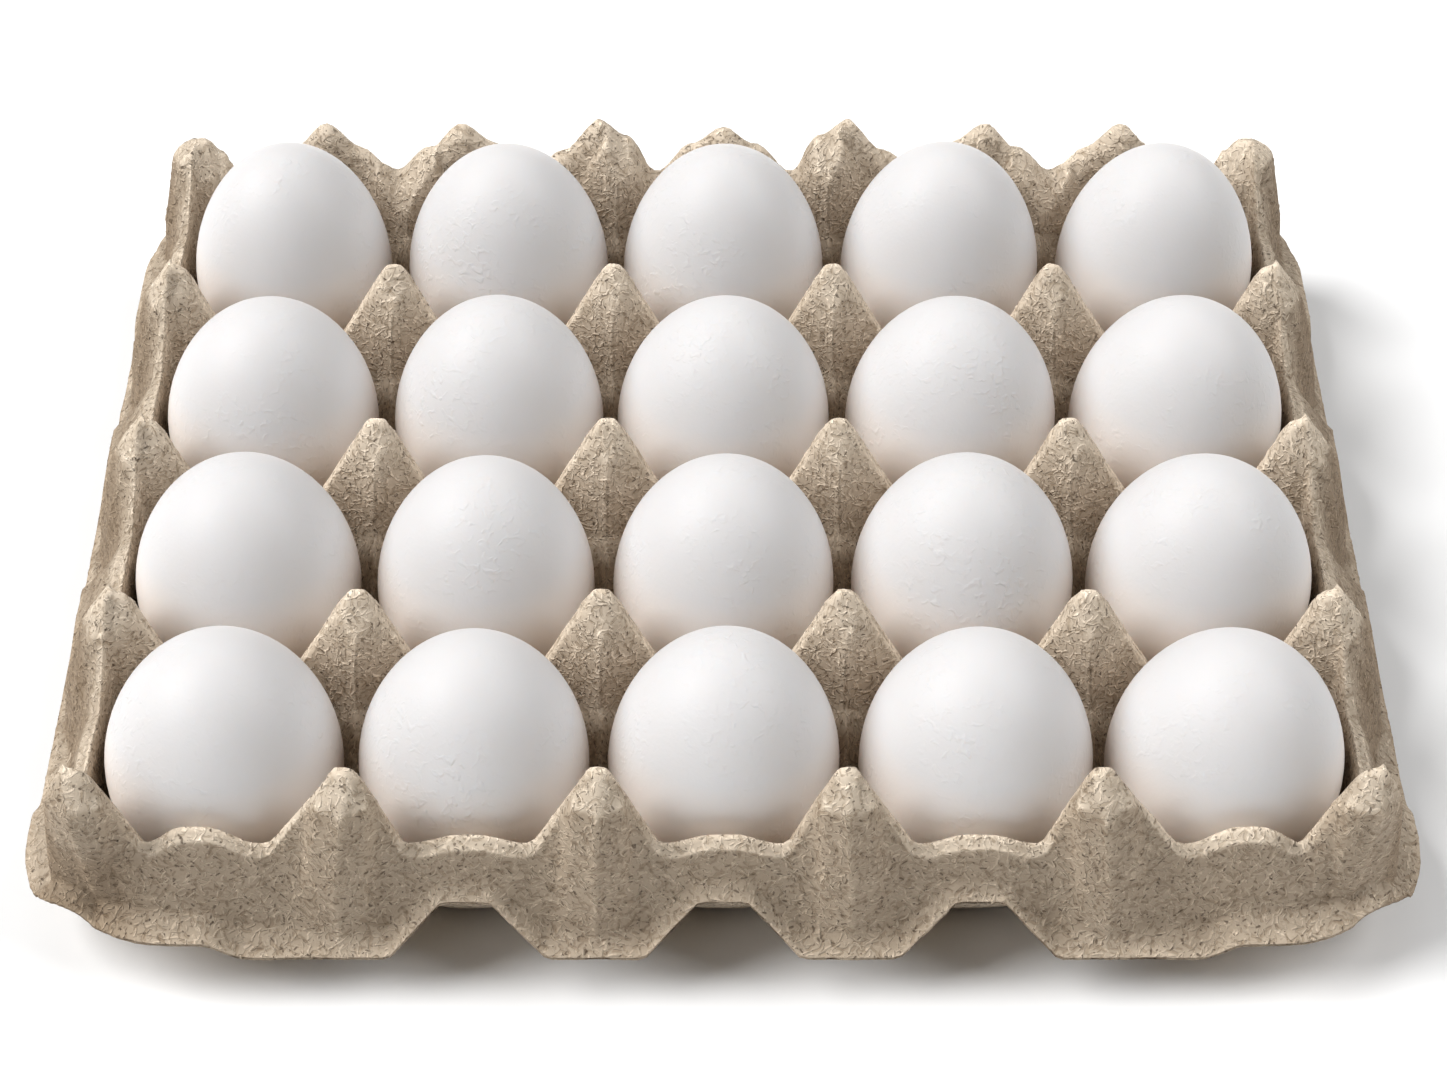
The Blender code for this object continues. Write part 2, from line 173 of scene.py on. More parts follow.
class LookSettings(bpy.types.PropertyGroup):
    # The pulp is given as a lit colour and a painted-shade colour; the painted light stored in the tray mixes
    # them.
    pulp: colour("Pulp", "Colour of the pulp where it faces up", (0.64, 0.545, 0.433))
    pulp_painted_shade: colour("Dark pulp", "Colour of the pulp on its dark sides", (0.25, 0.187, 0.127))
    # The paler tint also paints light on convex edges, and the browner tint paints shade in creases; on
    # fibres, mottling and grain they are the pulp's own colour.
    paler: tinting("Pale fibres", "How much paler fibres and worn edges are", (1.32, 1.33, 1.34))
    browner: tinting("Brown fibres", "How much browner dark fibres and creases are", (0.66, 0.61, 0.55))
    fleck_shade: tinting("Dark fleck shade", "How much darker loose flecks are", (0.26, 0.20, 0.16))
    fleck: colour("Flecks", "Colour of the dark flecks", (0.09, 0.060, 0.038))
    shell: colour("Eggshell", "Colour of the white shells", (0.645, 0.634, 0.634))
    # Painted warm bounce light: the shells are tinted warmer and brighter low down, near the pulp.
    warmer: tinting("Warm bounce", "How much warmer the shells are down between the pulp", (1.27, 1.11, 0.96))
    painted_bounce_below: length("Warm below", "Height below which the shells turn warmer", 43.0)
    painted_bounce_depth: length("Warm depth", "Height over which they do", 16.0)
    floor: colour("Floor", "Colour of the studio floor", (0.95, 0.95, 0.95))


class StageSettings(bpy.types.PropertyGroup):
    lens: length("Lens", "Focal length of the camera", 78.8)
    distance: length("Distance", "Camera to its target", 622.4)
    elevation: FloatProperty(name="Elevation", description="Height angle of the camera",
                             default=math.radians(45.42), subtype="ANGLE")
    target_x: length("Target along X", "Place the camera looks at, along X", 0.1)
    target_y: length("Target along Y", "Place the camera looks at, along Y", -36.1)
    target_z: length("Target height", "Height of the place the camera looks at", 52.0)
    softness: FloatProperty(name="Softness", description="Width of each light in the sky",
                            default=math.radians(40.0), subtype="ANGLE")
    key: number("Key light", "Strength of the light from the left", 3.87)
    side: number("Side light", "Strength of the light from the right", 1.83)
    fill: number("Fill light", "Strength of the light from the front left", 0.27)
    rear: number("Rear light", "Strength of the light from behind", 0.36)
    sky: number("Sky", "Strength of the even surround", 0.01)


# --------------------------------------------------------------------------- shape of the tray

# Crest of the back rim: distance from the middle and drop from a tip.
BACK_CREST = (
    (0.0, 2.2), (7.5, 7.0), (15.6, 14.5), (22.5, 5.0), (29.2, 0.3), (37.0, 8.5), (45.0, 14.5),
    (53.0, 6.5), (61.2, 0.8), (68.5, 8.5), (75.8, 15.0), (84.0, 7.5), (92.6, 1.2), (99.5, 8.0),
    (106.0, 13.5), (112.0, 14.5), (116.5, 9.5), (120.6, 5.8), (130.0, 6.4),
)


def smooth(t):
    t = np.clip(t, 0.0, 1.0)
    return t * t * (3.0 - 2.0 * t)


def lower_of(a, b, width):
    """The smaller of two drops, with a fillet of this width where they meet."""
    h = np.clip(0.5 + 0.5 * (b - a) / width, 0.0, 1.0)
    return b + (a - b) * h - width * h * (1.0 - h)


def nearest_post(place, count, pitch):
    along = (place + count * pitch / 2) / pitch
    return np.abs(along - np.round(along)) * pitch


def back_crest(x):
    """Drop of the back rim's crest, eased between its table's entries."""
    places = np.array([entry[0] for entry in BACK_CREST])
    drops = np.array([entry[1] for entry in BACK_CREST])
    x = np.abs(x)
    i = np.clip(np.searchsorted(places, x) - 1, 0, len(places) - 2)
    t = smooth((x - places[i]) / (places[i + 1] - places[i]))
    return drops[i] + (drops[i + 1] - drops[i]) * t


# Drop from the tip of a post, and the power of the curve round it there: round at first, hollow below.
SECTION_POWER = ((0.0, 2.4), (5.8, 2.15), (7.0, 1.65), (8.6, 1.25), (13.0, 0.98), (20.0, 0.82))


class TrayForm:
    """Upper and under surface of the tray, in millimetres below the tips of its posts."""

    def __init__(self, settings):
        self.s = settings
        self.half_x = COLUMNS * settings.pitch / 2
        self.half_y = ROWS * settings.pitch / 2
        self.section_drops, self.section_powers = zip(*SECTION_POWER)

    def ridge(self, distance, blunt):
        """Drop of a crest this far from the middle of a post whose tip is blunt."""
        rest = distance - blunt
        start = 0.5 * (np.hypot(blunt, 0.8) - blunt)
        return self.s.ridge_slope * (0.5 * (rest + np.sqrt(rest ** 2 + 0.64)) - start)

    def post_drop(self, dx, dy):
        s = self.s
        low = np.zeros_like(dx)
        high = np.full_like(dx, 60.0)
        for _ in range(20):
            drop = (low + high) / 2
            along = s.blunt * np.minimum(1.0, np.sqrt(drop / 0.7)) + drop / s.ridge_slope
            across = np.where(drop > s.kite_drop, s.kite_reach + (drop - s.kite_drop) / s.face_slope,
                              0.35 * np.minimum(drop, 1.0) + (s.kite_reach - 0.35) * drop / s.kite_drop)
            power = np.interp(drop, self.section_drops, self.section_powers)
            band = s.crest_half * np.minimum(1.0, drop / s.kite_drop) * 0.75
            side = np.maximum(dy - band, 0.0) / np.maximum(across - band, 0.05)
            inside = (dx / (along + 0.1)) ** power + side ** power <= 1.0
            high = np.where(inside, drop, high)
            low = np.where(inside, low, drop)
        return high

    def rim_crest(self, distance, bump, least, blunt):
        """Drop of the rim's crest at this distance from a post, with a bump at the middle of a cup."""
        s = self.s
        low = s.rim_low - bump * smooth((distance - 13.5) / (s.pitch / 2 - 15.5))
        return np.maximum(lower_of(self.ridge(distance, blunt), low, 1.6), least)

    def front_crest(self, x):
        s = self.s
        gap = self.half_x - np.abs(x)
        outer = gap < s.pitch
        inward = (s.pitch - gap) / (s.pitch / 2 + s.bump_shift)
        outward = gap / (s.pitch / 2 - s.bump_shift)
        distance = np.where(outer, np.minimum(inward, outward) * s.pitch / 2,
                            nearest_post(x, COLUMNS, s.pitch))
        blunt = np.where(gap < s.pitch / 2, s.side_blunt, s.blunt)
        return self.rim_crest(distance, np.where(outer, s.outer_bump, s.rim_bump), 0.0, blunt)

    def side_crest(self, y):
        s = self.s
        back = np.clip((y - self.half_y + s.pitch / 2) / (s.pitch / 2), 0.0, 1.0)
        least = BACK_CREST[-1][1] * back ** 2
        return self.rim_crest(nearest_post(y, ROWS, s.pitch), s.rim_bump, least, s.side_blunt)

    def rim_wall(self, crest, inward):
        return crest + (self.s.saddle_y - crest) * inward / self.s.rim_foot

    def inner_drop(self, x, y):
        s = self.s
        dx = nearest_post(x, COLUMNS, s.pitch)
        dy = nearest_post(y, ROWS, s.pitch)
        by_side = self.half_x - np.abs(x) < s.pitch / 2
        by_back = self.half_y - y < s.pitch / 2
        by_front = self.half_y + y < s.pitch / 2
        back = back_crest(x)
        along_x = s.saddle_x + 5.0 * np.maximum(dy - s.crest_half, 0.0)
        along_x = np.where(by_front, self.rim_wall(self.front_crest(x), dy), along_x)
        along_x = np.where(by_back, self.rim_wall(back, dy), along_x)
        along_y = s.saddle_y + 5.0 * np.maximum(dx - s.crest_half, 0.0)
        side = self.side_crest(y)
        along_y = np.where(by_side, self.rim_wall(side, dx), along_y)
        post = self.post_drop(dx, dy)
        post = np.where(by_back, np.maximum(post, back + 1.5 * dy), post)
        post = np.where(by_side, np.maximum(post, side + 0.9 * dx), post)
        u = s.pitch / 2 - dx
        v = s.pitch / 2 - dy
        reach = (u ** 3.0 + v ** 3.0) ** (1.0 / 3.0)
        rise = np.maximum(0.0, (reach - s.cup_flat) / (s.cup_span - s.cup_flat))
        bowl = s.tip_height - s.wall - s.cup_rise * rise ** 1.1
        walls = lower_of(along_x, along_y, 0.8)
        return np.minimum(lower_of(lower_of(walls, bowl, 1.5), post, 0.5), s.tip_height - s.wall)

    def under_drop(self, x, y):
        s = self.s
        drop = self.inner_drop(x, y) + s.wall
        for step in range(8):
            turn = math.radians(45.0 * step)
            near_x = np.clip(x + s.wall * 0.8 * math.cos(turn), -self.half_x, self.half_x)
            near_y = np.clip(y + s.wall * 0.8 * math.sin(turn), -self.half_y, self.half_y)
            drop = np.maximum(drop, self.inner_drop(near_x, near_y) + 0.6)
        return np.minimum(drop, s.tip_height)

    def edge_drop(self, distance, corner_gap):
        s = self.s
        arch = s.foot_edge + (s.arch_edge - s.foot_edge) * np.clip((distance - 9.2) / 10.5, 0.0, 1.0)
        outer = s.foot_edge + (s.outer_edge - s.foot_edge) * smooth((distance - 18.0) / 8.0)
        outer = np.where(corner_gap < s.pitch / 2, s.outer_edge, outer)
        return np.where(corner_gap < s.pitch, outer, arch)

    def skirt_rows(self, crest, distance, corner_gap, reach, arch_reach, rise):
        """Overhang and drop of the skirt's crest, band, face and edge."""
        s = self.s
        inner = np.clip(1.0 - distance / s.shoulder, 0.0, 1.0)
        outer = np.clip(1.0 - (distance - s.shoulder) / 1.8, 0.0, 1.0)
        band_out = 1.3 + 1.1 * smooth((distance - 8.0) / 8.0)
        band_out = band_out + outer * (s.shoulder_reach - band_out)
        band_out = band_out + inner * (s.kite_reach - s.shoulder_reach)
        band = np.where(distance < s.shoulder, s.kite_drop - 1.2 * (1.0 - inner), crest + 1.3)
        edge = self.edge_drop(distance, corner_gap)
        foot = np.where(corner_gap < s.pitch, 1.0, (edge - s.arch_edge) / (s.foot_edge - s.arch_edge))
        out = arch_reach + (reach - arch_reach) * foot
        start = np.where(corner_gap < s.pitch / 2, 3.0, 0.0)
        wedge = s.ledge * np.clip((distance + start) / 9.0, 0.0, 1.0) * foot
        outs = [np.zeros_like(crest), band_out, out - 2.6 - wedge, out]
        least = 0.5 + 0.8 * np.clip((distance - s.shoulder) / 3.0, 0.0, 1.0)
        drops = [crest, np.maximum(band, crest + least), edge - 3.2 - rise, edge - rise]
        return outs, drops

    def settle(self, px, py, pz):
        """Lift the front rim, and let the posts lean in toward the middle at their tips."""
        s = self.s
        front = np.clip((s.front_in - self.half_y - s.rim_out + 4.0 - py) / 3.0, 0.0, 1.0)
        pz = pz + front * s.front_lift * (0.5 + 0.5 * pz / s.tip_height)
        top = np.clip((pz - 26.0) / 26.0, 0.0, 1.0)
        near = np.clip((-py - 60.0) / 30.0, 0.0, 1.0)
        lean = s.lean - s.lean * 0.4 * near + 0.045 * near * np.maximum(0.0, 1.0 - (px / self.half_x) ** 2)
        return px * (1.0 - top * lean), py, pz


def ladder(values, place, ease):
    """Value at this place on a ladder of rungs, with its corners eased."""
    total = 0.0
    for shift in (-ease, 0.0, ease):
        at = np.clip(place + shift, 0.0, len(values) - 1.0)
        i = np.minimum(at.astype(int), len(values) - 2)
        t = at - i
        stack = np.stack(values)
        pick = np.arange(stack.shape[1])
        total = total + stack[i, pick] * (1.0 - t) + stack[i + 1, pick] * t
    return total / 3.0


def round_corner(form, ax, ay, out, extra, front):
    """Pull a point of the skirt onto a rounder corner, given its distances from the middle."""
    s = form.s
    cx = form.half_x + s.rim_out - extra
    cy = form.half_y + s.rim_out - front * s.front_in - extra
    bx = np.maximum(ax - cx, 0.0)
    by = np.maximum(ay - cy, 0.0)
    reach = np.maximum(np.hypot(bx, by), 1e-6)
    pull = np.where((bx > 0.0) & (by > 0.0), np.minimum(1.0, (extra + out) / reach), 1.0)
    return np.where(pull < 1.0, cx + bx * pull, ax), np.where(pull < 1.0, cy + by * pull, ay)


def tray_points(form, under, i, j, lines_x, lines_y, rungs):
    """Places of the grid's points, in millimetres, given their indices."""
    s = form.s
    last = len(rungs) - 1
    nx, ny = len(lines_x), len(lines_y)
    s_row = np.maximum(np.maximum(last - i, i - (nx - 1 + last)), 0)
    t_row = np.maximum(np.maximum(last - j, j - (ny - 1 + last)), 0)
    sign_x = np.where(i < (nx - 1 + 2 * last) / 2, -1.0, 1.0)
    sign_y = np.where(j < (ny - 1 + 2 * last) / 2, -1.0, 1.0)
    x = lines_x[np.clip(i - last, 0, nx - 1)]
    y = lines_y[np.clip(j - last, 0, ny - 1)]
    stretch_x = np.clip((np.abs(x) - form.half_x + s.rim_foot) / s.rim_foot, 0.0, 1.0)
    stretch_y = np.clip((np.abs(y) - form.half_y + s.rim_foot) / s.rim_foot, 0.0, 1.0)
    front = (sign_y < 0).astype(float)
    ax = np.abs(x) + s.rim_out * stretch_x
    ay = np.abs(y) + (s.rim_out - front * s.front_in) * stretch_y
    crest = form.inner_drop(x, y)
    drop = form.under_drop(x, y) if under else crest
    row = np.maximum(s_row, t_row)
    short = np.minimum(s_row, t_row)
    share = short / np.maximum(row, 1)
    turn = np.where(row > 0, np.where(s_row >= t_row, share, 2.0 - share), 0)
    turn = np.radians(45.0) * turn
    corner = (s_row > 0) & (t_row > 0)
    along_front = t_row > s_row
    diagonal = np.where(corner, np.sin(2.0 * turn), 0.0)
    distance = np.where(along_front, nearest_post(x, COLUMNS, s.pitch), nearest_post(y, ROWS, s.pitch))
    distance = np.where(corner, 0.0, np.where(along_front & (y > 0), np.maximum(distance, 5.0), distance))
    gap = np.where(along_front, form.half_x - np.abs(x), form.half_y - np.abs(y))
    gap = np.where(corner, 0.0, gap)
    side_reach = s.side_reach - s.side_taper * y / form.half_y
    along = np.where(corner, np.sin(turn) ** 2, along_front.astype(float))
    end_reach = s.front_reach - s.front_in * (y > 0)
    reach = side_reach + (end_reach - side_reach) * along
    arch_reach = s.side_arch + (s.front_arch - s.side_arch) * along
    outs, drops = form.skirt_rows(crest, distance, gap, reach, arch_reach, s.corner_rise * diagonal)
    if under:
        inset = s.wall * 0.7
        outs = [outs[0], (outs[2] - inset) * 0.45, outs[2] - inset, outs[3] - inset]
        first = drop + (drops[2] + 1.0 - drop) * 0.45
        drops = [drop, first, drops[2] + s.wall * 0.5, drops[3] + s.wall * 0.5]
    else:
        outs = outs + [outs[3] - s.groove, outs[3] - 0.15]
        drops = drops + [drops[3] + 0.35, drops[3] + 0.7]
    place = rungs[row]
    out = np.where(row > 0, ladder(outs, place, s.ease), 0.0)
    fall = np.where(row > 0, ladder(drops, place, s.ease), drop)
    ax = ax + out * np.where(along_front & ~corner, 0.0, np.cos(turn)) * (row > 0)
    ay = ay + out * np.where(~along_front & ~corner, 0.0, np.sin(turn)) * (row > 0)
    rounded = 0.3 * np.minimum(place, 1.0) + 0.7 * np.clip(place - 1.0, 0.0, 1.0)
    extra = np.where(front > 0, s.corner_round, s.back_round) * rounded
    ax, ay = round_corner(form, ax, ay, out, extra, front)
    return form.settle(sign_x * ax, sign_y * ay, s.tip_height - fall)


def lines_across(count, pitch, half):
    """Positions of the mesh lines from rim to rim, from those of half a cup."""
    one = np.concatenate([half, pitch - half[-2:0:-1]])
    start = -count * pitch / 2
    lines = [start + cell * pitch + one for cell in range(count)]
    return np.append(np.concatenate(lines), -start)


def half_lines(pitch, steep, flat):
    """Lines from a post to the middle of a cup: close together on the steep walls, wider on the bowl."""
    near = np.arange(0.0, 1.5, 0.6)
    walls = np.arange(1.5, 8.6, steep)
    count = max(2, round((pitch / 2 - walls[-1]) / flat))
    return np.concatenate([near, walls, np.linspace(walls[-1], pitch / 2, count + 1)[1:]])


def skirt_rungs(face, lip, ply):
    """Places of the skirt's rows on the ladder from the crest to the edge, and over its two plies."""
    return np.concatenate([
        np.linspace(0.0, 0.86, lip), [0.95, 1.0, 1.04], np.linspace(1.1, 1.86, face), [1.94, 2.0, 2.06],
        np.linspace(2.2, 3.0, lip - 1), np.linspace(3.2, 5.0, ply),
    ])


def within_tray(place):
    """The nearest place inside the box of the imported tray."""
    return [min(max(place[k], TRAY_LOW[k]), TRAY_HIGH[k]) for k in range(3)]


def rough_height(point, lump, tooth):
    """Uneven height of moulded pulp at this place, in metres."""
    slow = noise.noise(point * 140.0)
    middle = noise.noise(point * 420.0 + Vector((7.1, 3.3, 1.7)))
    quick = noise.noise(point * 1100.0 + Vector((1.3, 9.1, 4.2)))
    return (slow * 0.6 + middle * 0.4) * lump * MM + quick * tooth * MM


def new_piece(name, mesh, material):
    piece = bpy.data.objects.new(name, mesh)
    bpy.context.scene.collection.objects.link(piece)
    mesh.materials.clear()
    mesh.materials.append(material)
    for face in mesh.polygons:
        face.use_smooth = True
    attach(piece, "root")
    return piece


def add_masks(mesh, settings):
    """Store the painted light and shade from how far each point faces up, and whether its edges stand out or
    lie in.
    """
    count = len(mesh.vertices)
    points = np.empty(count * 3)
    mesh.vertices.foreach_get("co", points)
    points = points.reshape(-1, 3)
    normals = np.empty(count * 3)
    mesh.vertex_normals.foreach_get("vector", normals)
    normals = normals.reshape(-1, 3)
    # Bend of the surface at each point: painted light where it bends outward, painted shade in creases where
    # it bends inward.
    ends = np.empty(len(mesh.edges) * 2, dtype=np.int32)
    mesh.edges.foreach_get("vertices", ends)
    first, second = ends.reshape(-1, 2).T
    gap = points[first] - points[second]
    bend = ((normals[first] - normals[second]) * gap).sum(axis=1) / (gap ** 2).sum(axis=1)
    edges = np.bincount(first, minlength=count) + np.bincount(second, minlength=count)
    wear = (np.bincount(first, bend, count) + np.bincount(second, bend, count)) / edges
    near = (np.bincount(first, wear[second], count) + np.bincount(second, wear[first], count)) / edges
    wear = np.clip(0.5 + 0.5 * (wear + near) / 2 / settings.sharpest, 0.0, 1.0)
    # Painted light: pulp that faces up is painted paler, and low down it is painted less pale, as painted
    # shade.
    rise = normals[:, 2] - 0.2 * np.abs(normals[:, 0])
    x, y, z = points.T / MM
    high = 0.2 + 0.8 * smooth((z - settings.painted_shade_below) / 10.0)
    up = high * smooth((rise - settings.steep_rise) / (settings.flat_rise - settings.steep_rise))
    # Painted light and shade on steep walls: darker on the outer skirt, paler on the cup walls.
    room = np.minimum(COLUMNS * settings.pitch / 2 - np.abs(x), ROWS * settings.pitch / 2 - np.abs(y))
    inside = smooth((room + 2.0) / 6.0)
    tone = (settings.skirt_painted_light + 0.52 * up) * (1.0 - inside) + (settings.cup_painted_light + 0.2 * up) * inside
    # Painted shade: the left front corner is painted darker.
    corner = smooth((-x - 104.0) / 14.0) * smooth((-y - 90.0) / 6.0) * smooth((38.0 - z) / 8.0)
    # Painted shade: steep side walls beyond a distance from the middle are painted darker.
    beyond = smooth((np.abs(x) - settings.side_start) / 3.0) * smooth((0.8 - normals[:, 2]) / 0.3)
    tone = tone * (1.0 - settings.painted_corner_shade * corner) * (1.0 - settings.painted_side_shade * beyond)
    for name, values in (("tone", tone), ("wear", wear)):
        mesh.attributes.new(name, "FLOAT", "POINT").data.foreach_set("value", values)


def make_tray_mesh(settings):
    form = TrayForm(settings)
    fine = half_lines(settings.pitch, settings.steep_step, settings.flat_step)
    coarse = half_lines(settings.pitch, settings.steep_step * 3.0, settings.flat_step * 2.0)
    sides = (
        (False, fine, skirt_rungs(9, 5, 5)),
        (True, coarse, skirt_rungs(4, 2, 0)),
    )
    bm = bmesh.new()
    loops = []
    layout = {}
    for under, half, rungs in sides:
        lines_x = lines_across(COLUMNS, settings.pitch, half)
        lines_y = lines_across(ROWS, settings.pitch, half)
        count_x = len(lines_x) - 1 + 2 * (len(rungs) - 1)
        count_y = len(lines_y) - 1 + 2 * (len(rungs) - 1)
        made = bmesh.ops.create_grid(bm, x_segments=count_x, y_segments=count_y, size=0.5)["verts"]
        flat = np.array([vertex.co[:] for vertex in made])
        i = np.rint((flat[:, 0] + 0.5) * count_x).astype(int)
        j = np.rint((flat[:, 1] + 0.5) * count_y).astype(int)
        places = tray_points(form, under, i, j, lines_x, lines_y, rungs)
        layout[under] = (made, np.stack(places, axis=1))
        if under:
            bmesh.ops.reverse_faces(bm, faces=list({face for vertex in made for face in vertex.link_faces}))
    bmesh.ops.bridge_loops(bm, edges=[edge for edge in bm.edges if edge.is_boundary])
    for made, places in layout.values():
        for vertex, place in zip(made, places):
            vertex.co = Vector(place) * MM
    bmesh.ops.recalc_face_normals(bm, faces=bm.faces)
    if bm.calc_volume(signed=True) < 0.0:
        bmesh.ops.reverse_faces(bm, faces=bm.faces)
    bm.normal_update()
    bottom = {vertex for vertex in layout[True][0] if vertex.co.z < 0.1 * MM}
    moves = [(vertex, vertex.normal * rough_height(vertex.co, settings.lump, settings.tooth))
             for vertex in bm.verts if vertex not in bottom]
    for vertex, move in moves:
        vertex.co = within_tray(vertex.co + move)
    mesh = bpy.data.meshes.new("pulp_tray")
    bm.to_mesh(mesh)
    bm.free()
    add_masks(mesh, settings)
    return mesh


# --------------------------------------------------------------------------- fibres

def strand(bm, tree, start, normal, heading, steps, step, width, height, rng):
    """Lay one bent fibre on the surface, as a low ridge, and give its points."""
    point = start
    curl = rng.uniform(-0.75, 0.75)
    rows = []
    for index in range(steps + 1):
        side = normal.cross(heading).normalized()
        swell = width * (0.35 + 0.65 * math.sin(math.pi * (index + 0.35) / (steps + 0.7)))
        rows.append([bm.verts.new(point - side * swell / 2 - normal * 0.04 * MM),
                     bm.verts.new(point + normal * height),
                     bm.verts.new(point + side * swell / 2 - normal * 0.04 * MM)])
        curl += rng.uniform(-0.45, 0.45)
        heading = (heading + side * curl * 0.55).normalized()
        found = tree.find_nearest(point + heading * step)
        point, normal = found[0], found[1]
        heading = (heading - normal * heading.dot(normal)).normalized()
    for low, high in zip(rows, rows[1:]):
        for a in (0, 1):
            bm.faces.new((low[a], high[a], high[a + 1], low[a + 1]))
    return [vertex for row in rows for vertex in row]


def in_sight(face):
    """How thickly fibres lie here: the crests, posts and skirt most, the bowls under the eggs least."""
    side_gap = TRAY_HIGH.x - abs(face.center.x)
    end_gap = TRAY_HIGH.y - abs(face.center.y)
    if face.center.z < 1.5 * MM or min(side_gap, end_gap) < 0.7 * MM:
        return 0.0
    if face.normal.z < -0.15:
        return 0.06
    in_bowl = face.center.z < 17.0 * MM and side_gap > 14.0 * MM and end_gap > 11.0 * MM
    return 0.12 if in_bowl else 1.0


def scatter(tray, name, count, bends, step, width, height, seed):
    """Lay many fibres of one kind on the tray, as one mesh."""
    rng = random.Random(seed)
    mesh = tray.data
    faces = mesh.polygons
    places = np.cumsum([face.area * in_sight(face) for face in faces])
    corners = [vertex.co.copy() for vertex in mesh.vertices]
    tree = BVHTree.FromPolygons(corners, [tuple(face.vertices) for face in faces])
    painted_lights = mesh.attributes["tone"].data
    bm = bmesh.new()
    layer = bm.verts.layers.float.new("tone")
    for _ in range(count):
        face = faces[int(np.searchsorted(places, rng.uniform(0.0, places[-1] * 0.9999)))]
        side = face.normal.orthogonal().normalized()
        turn = rng.uniform(0.0, math.tau)
        heading = side * math.cos(turn) + face.normal.cross(side) * math.sin(turn)
        start = face.center + heading * rng.uniform(-0.8, 0.8) * MM
        found = tree.find_nearest(start)
        size = rng.uniform(0.6, 1.3)
        # Each fibre takes the painted light and shade of the face it lies on.
        tone = painted_lights[face.vertices[0]].value
        for vertex in strand(bm, tree, found[0], found[1], heading, rng.randint(*bends), step * size * MM,
                             width * size * MM, height * size * MM, rng):
            vertex[layer] = tone
            vertex.co = within_tray(vertex.co)
    result = bpy.data.meshes.new(name)
    bm.to_mesh(result)
    bm.free()
    return result


# --------------------------------------------------------------------------- eggs

def make_egg_mesh(node, settings, seed):
    """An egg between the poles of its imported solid, as wide as that solid."""
    low, high = (Vector(corner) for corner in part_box(node))
    solid = bpy.data.objects[node].data
    points = [vertex.co.copy() for vertex in solid.vertices]
    top = max(points, key=lambda p: p.z)
    bottom = min(points, key=lambda p: p.z)
    axis = (top - bottom).normalized()
    height = (top - bottom).length
    radius = (high.x - low.x + high.y - low.y) / 4 * 1.008
    bm = bmesh.new()
    bmesh.ops.create_uvsphere(bm, u_segments=settings.segments, v_segments=settings.rings, radius=1.0)
    spin = axis.to_track_quat("Z", "Y")
    shift = Vector((seed * 3.7, seed * 1.9, seed * 5.3))
    for vertex in bm.verts:
        rise = vertex.co.z
        bump = noise.noise(vertex.co * 1.3 + shift) * settings.uneven * MM * (1.0 - rise * rise)
        narrow = 1.0 - settings.taper * rise
        side = Vector((vertex.co.x, vertex.co.y, 0.0)) * (narrow * (radius + bump))
        vertex.co = (top + bottom) / 2 + spin @ (side + Vector((0.0, 0.0, rise * height / 2)))
    mesh = bpy.data.meshes.new(node.replace("egg", "shell"))
    bm.to_mesh(mesh)
    bm.free()
    return mesh


# --------------------------------------------------------------------------- materials

def maths(tree, operation, first, second=None, clamp=False):
    item = tree.nodes.new("ShaderNodeMath")
    item.operation = operation
    item.use_clamp = clamp
    for socket, value in zip(item.inputs, (first, second)):
        if value is None:
            continue
        if isinstance(value, (int, float)):
            socket.default_value = value
        else:
            tree.links.new(value, socket)
    return item.outputs[0]


def ramp(tree, value, start, gain):
    """From 0 at the start up to 1, at this gain; a negative gain runs the other way."""
    return maths(tree, "MULTIPLY", maths(tree, "SUBTRACT", value, start), gain, clamp=True)


def noise_of(tree, vector, scale, detail=2.0, rough=0.5, distortion=0.0):
    item = tree.nodes.new("ShaderNodeTexNoise")
    item.inputs["Scale"].default_value = scale
    item.inputs["Detail"].default_value = detail
    item.inputs["Roughness"].default_value = rough
    item.inputs["Distortion"].default_value = distortion
    tree.links.new(vector, item.inputs["Vector"])
    return item.outputs["Fac"]


def vector_maths(tree, operation, first, second=None, scale=None):
    item = tree.nodes.new("ShaderNodeVectorMath")
    item.operation = operation
    for socket, value in ((item.inputs[0], first), (item.inputs[1], second), (item.inputs[3], scale)):
        if isinstance(value, (int, float, tuple)):
            socket.default_value = value
        elif value is not None:
            tree.links.new(value, socket)
    return item.outputs["Value" if operation in ("DOT_PRODUCT", "LENGTH") else "Vector"]


